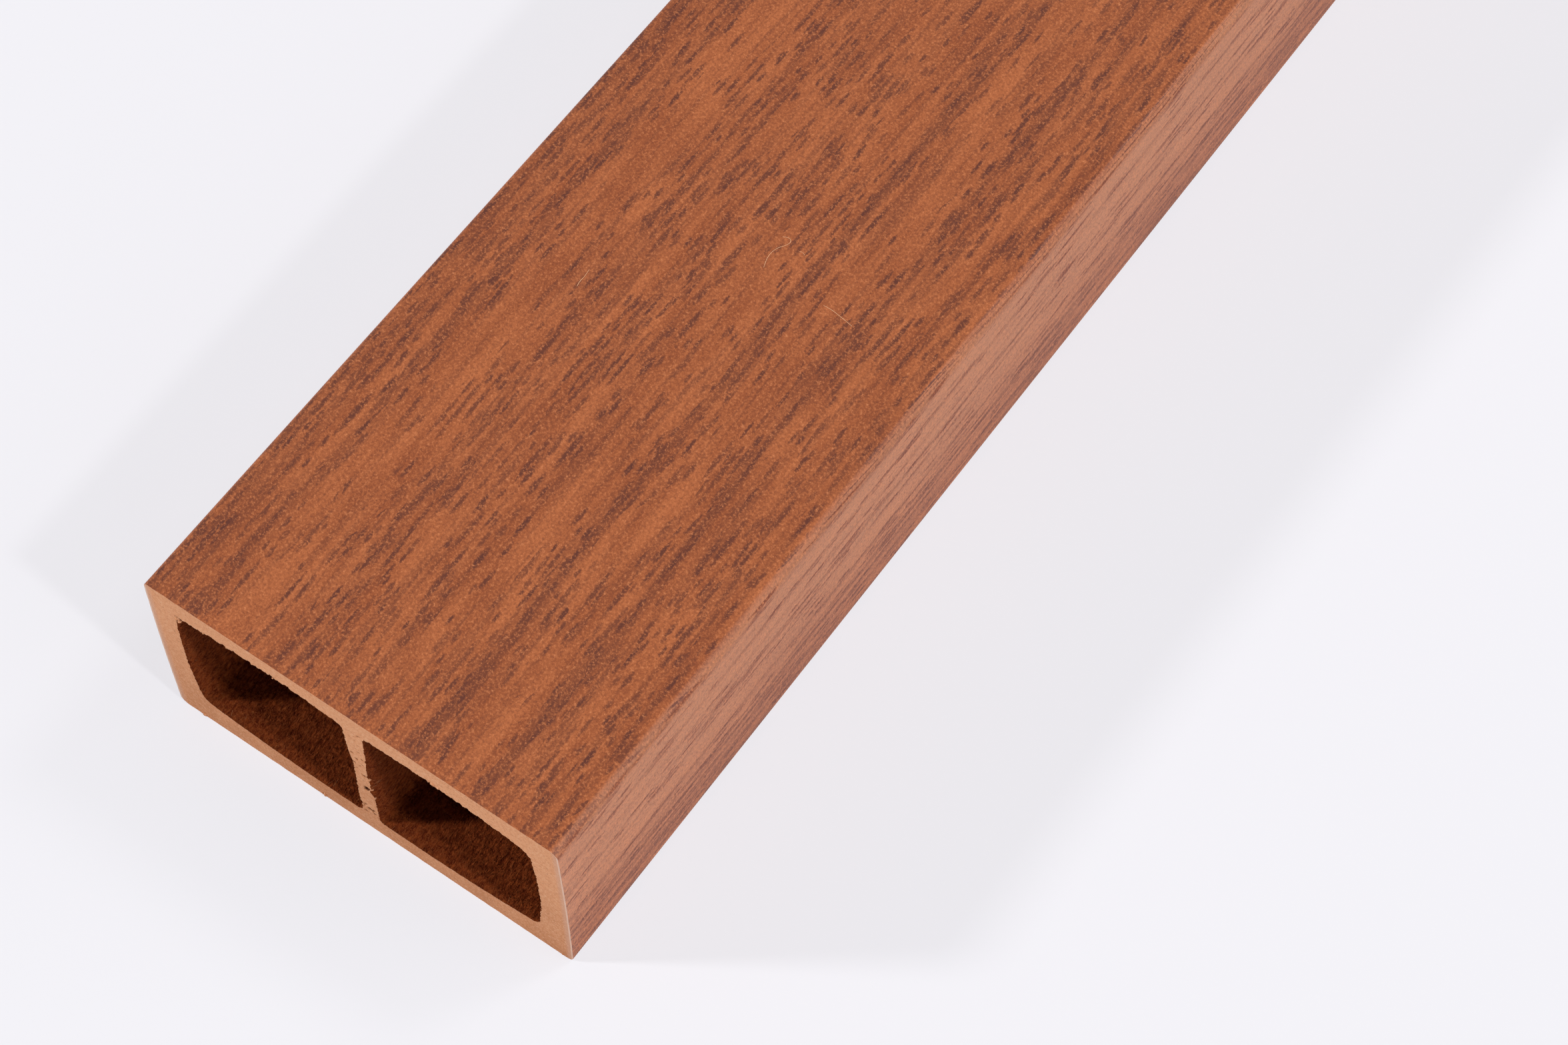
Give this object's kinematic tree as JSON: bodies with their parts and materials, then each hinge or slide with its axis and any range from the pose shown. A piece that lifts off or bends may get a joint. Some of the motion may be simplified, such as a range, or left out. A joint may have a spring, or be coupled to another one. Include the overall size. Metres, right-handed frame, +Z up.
{
  "type": "composite timber tube",
  "caption": "Rectangular hollow tube of wood-plastic composite with side-by-side chambers, a central web and a printed wood-grain face, sawn square at both ends.",
  "frame": {"origin": "on the underside, at the middle of the tube's length and width", "axes": "+Y along the tube's length, +X across its wide face, +Z up through its thickness"},
  "size_m": [0.1, 3, 0.05],
  "materials": {
    "composite_timber": "satin"
  },
  "bodies": {
    "root": {"tube": "composite_timber"}
  },
  "joints": []
}
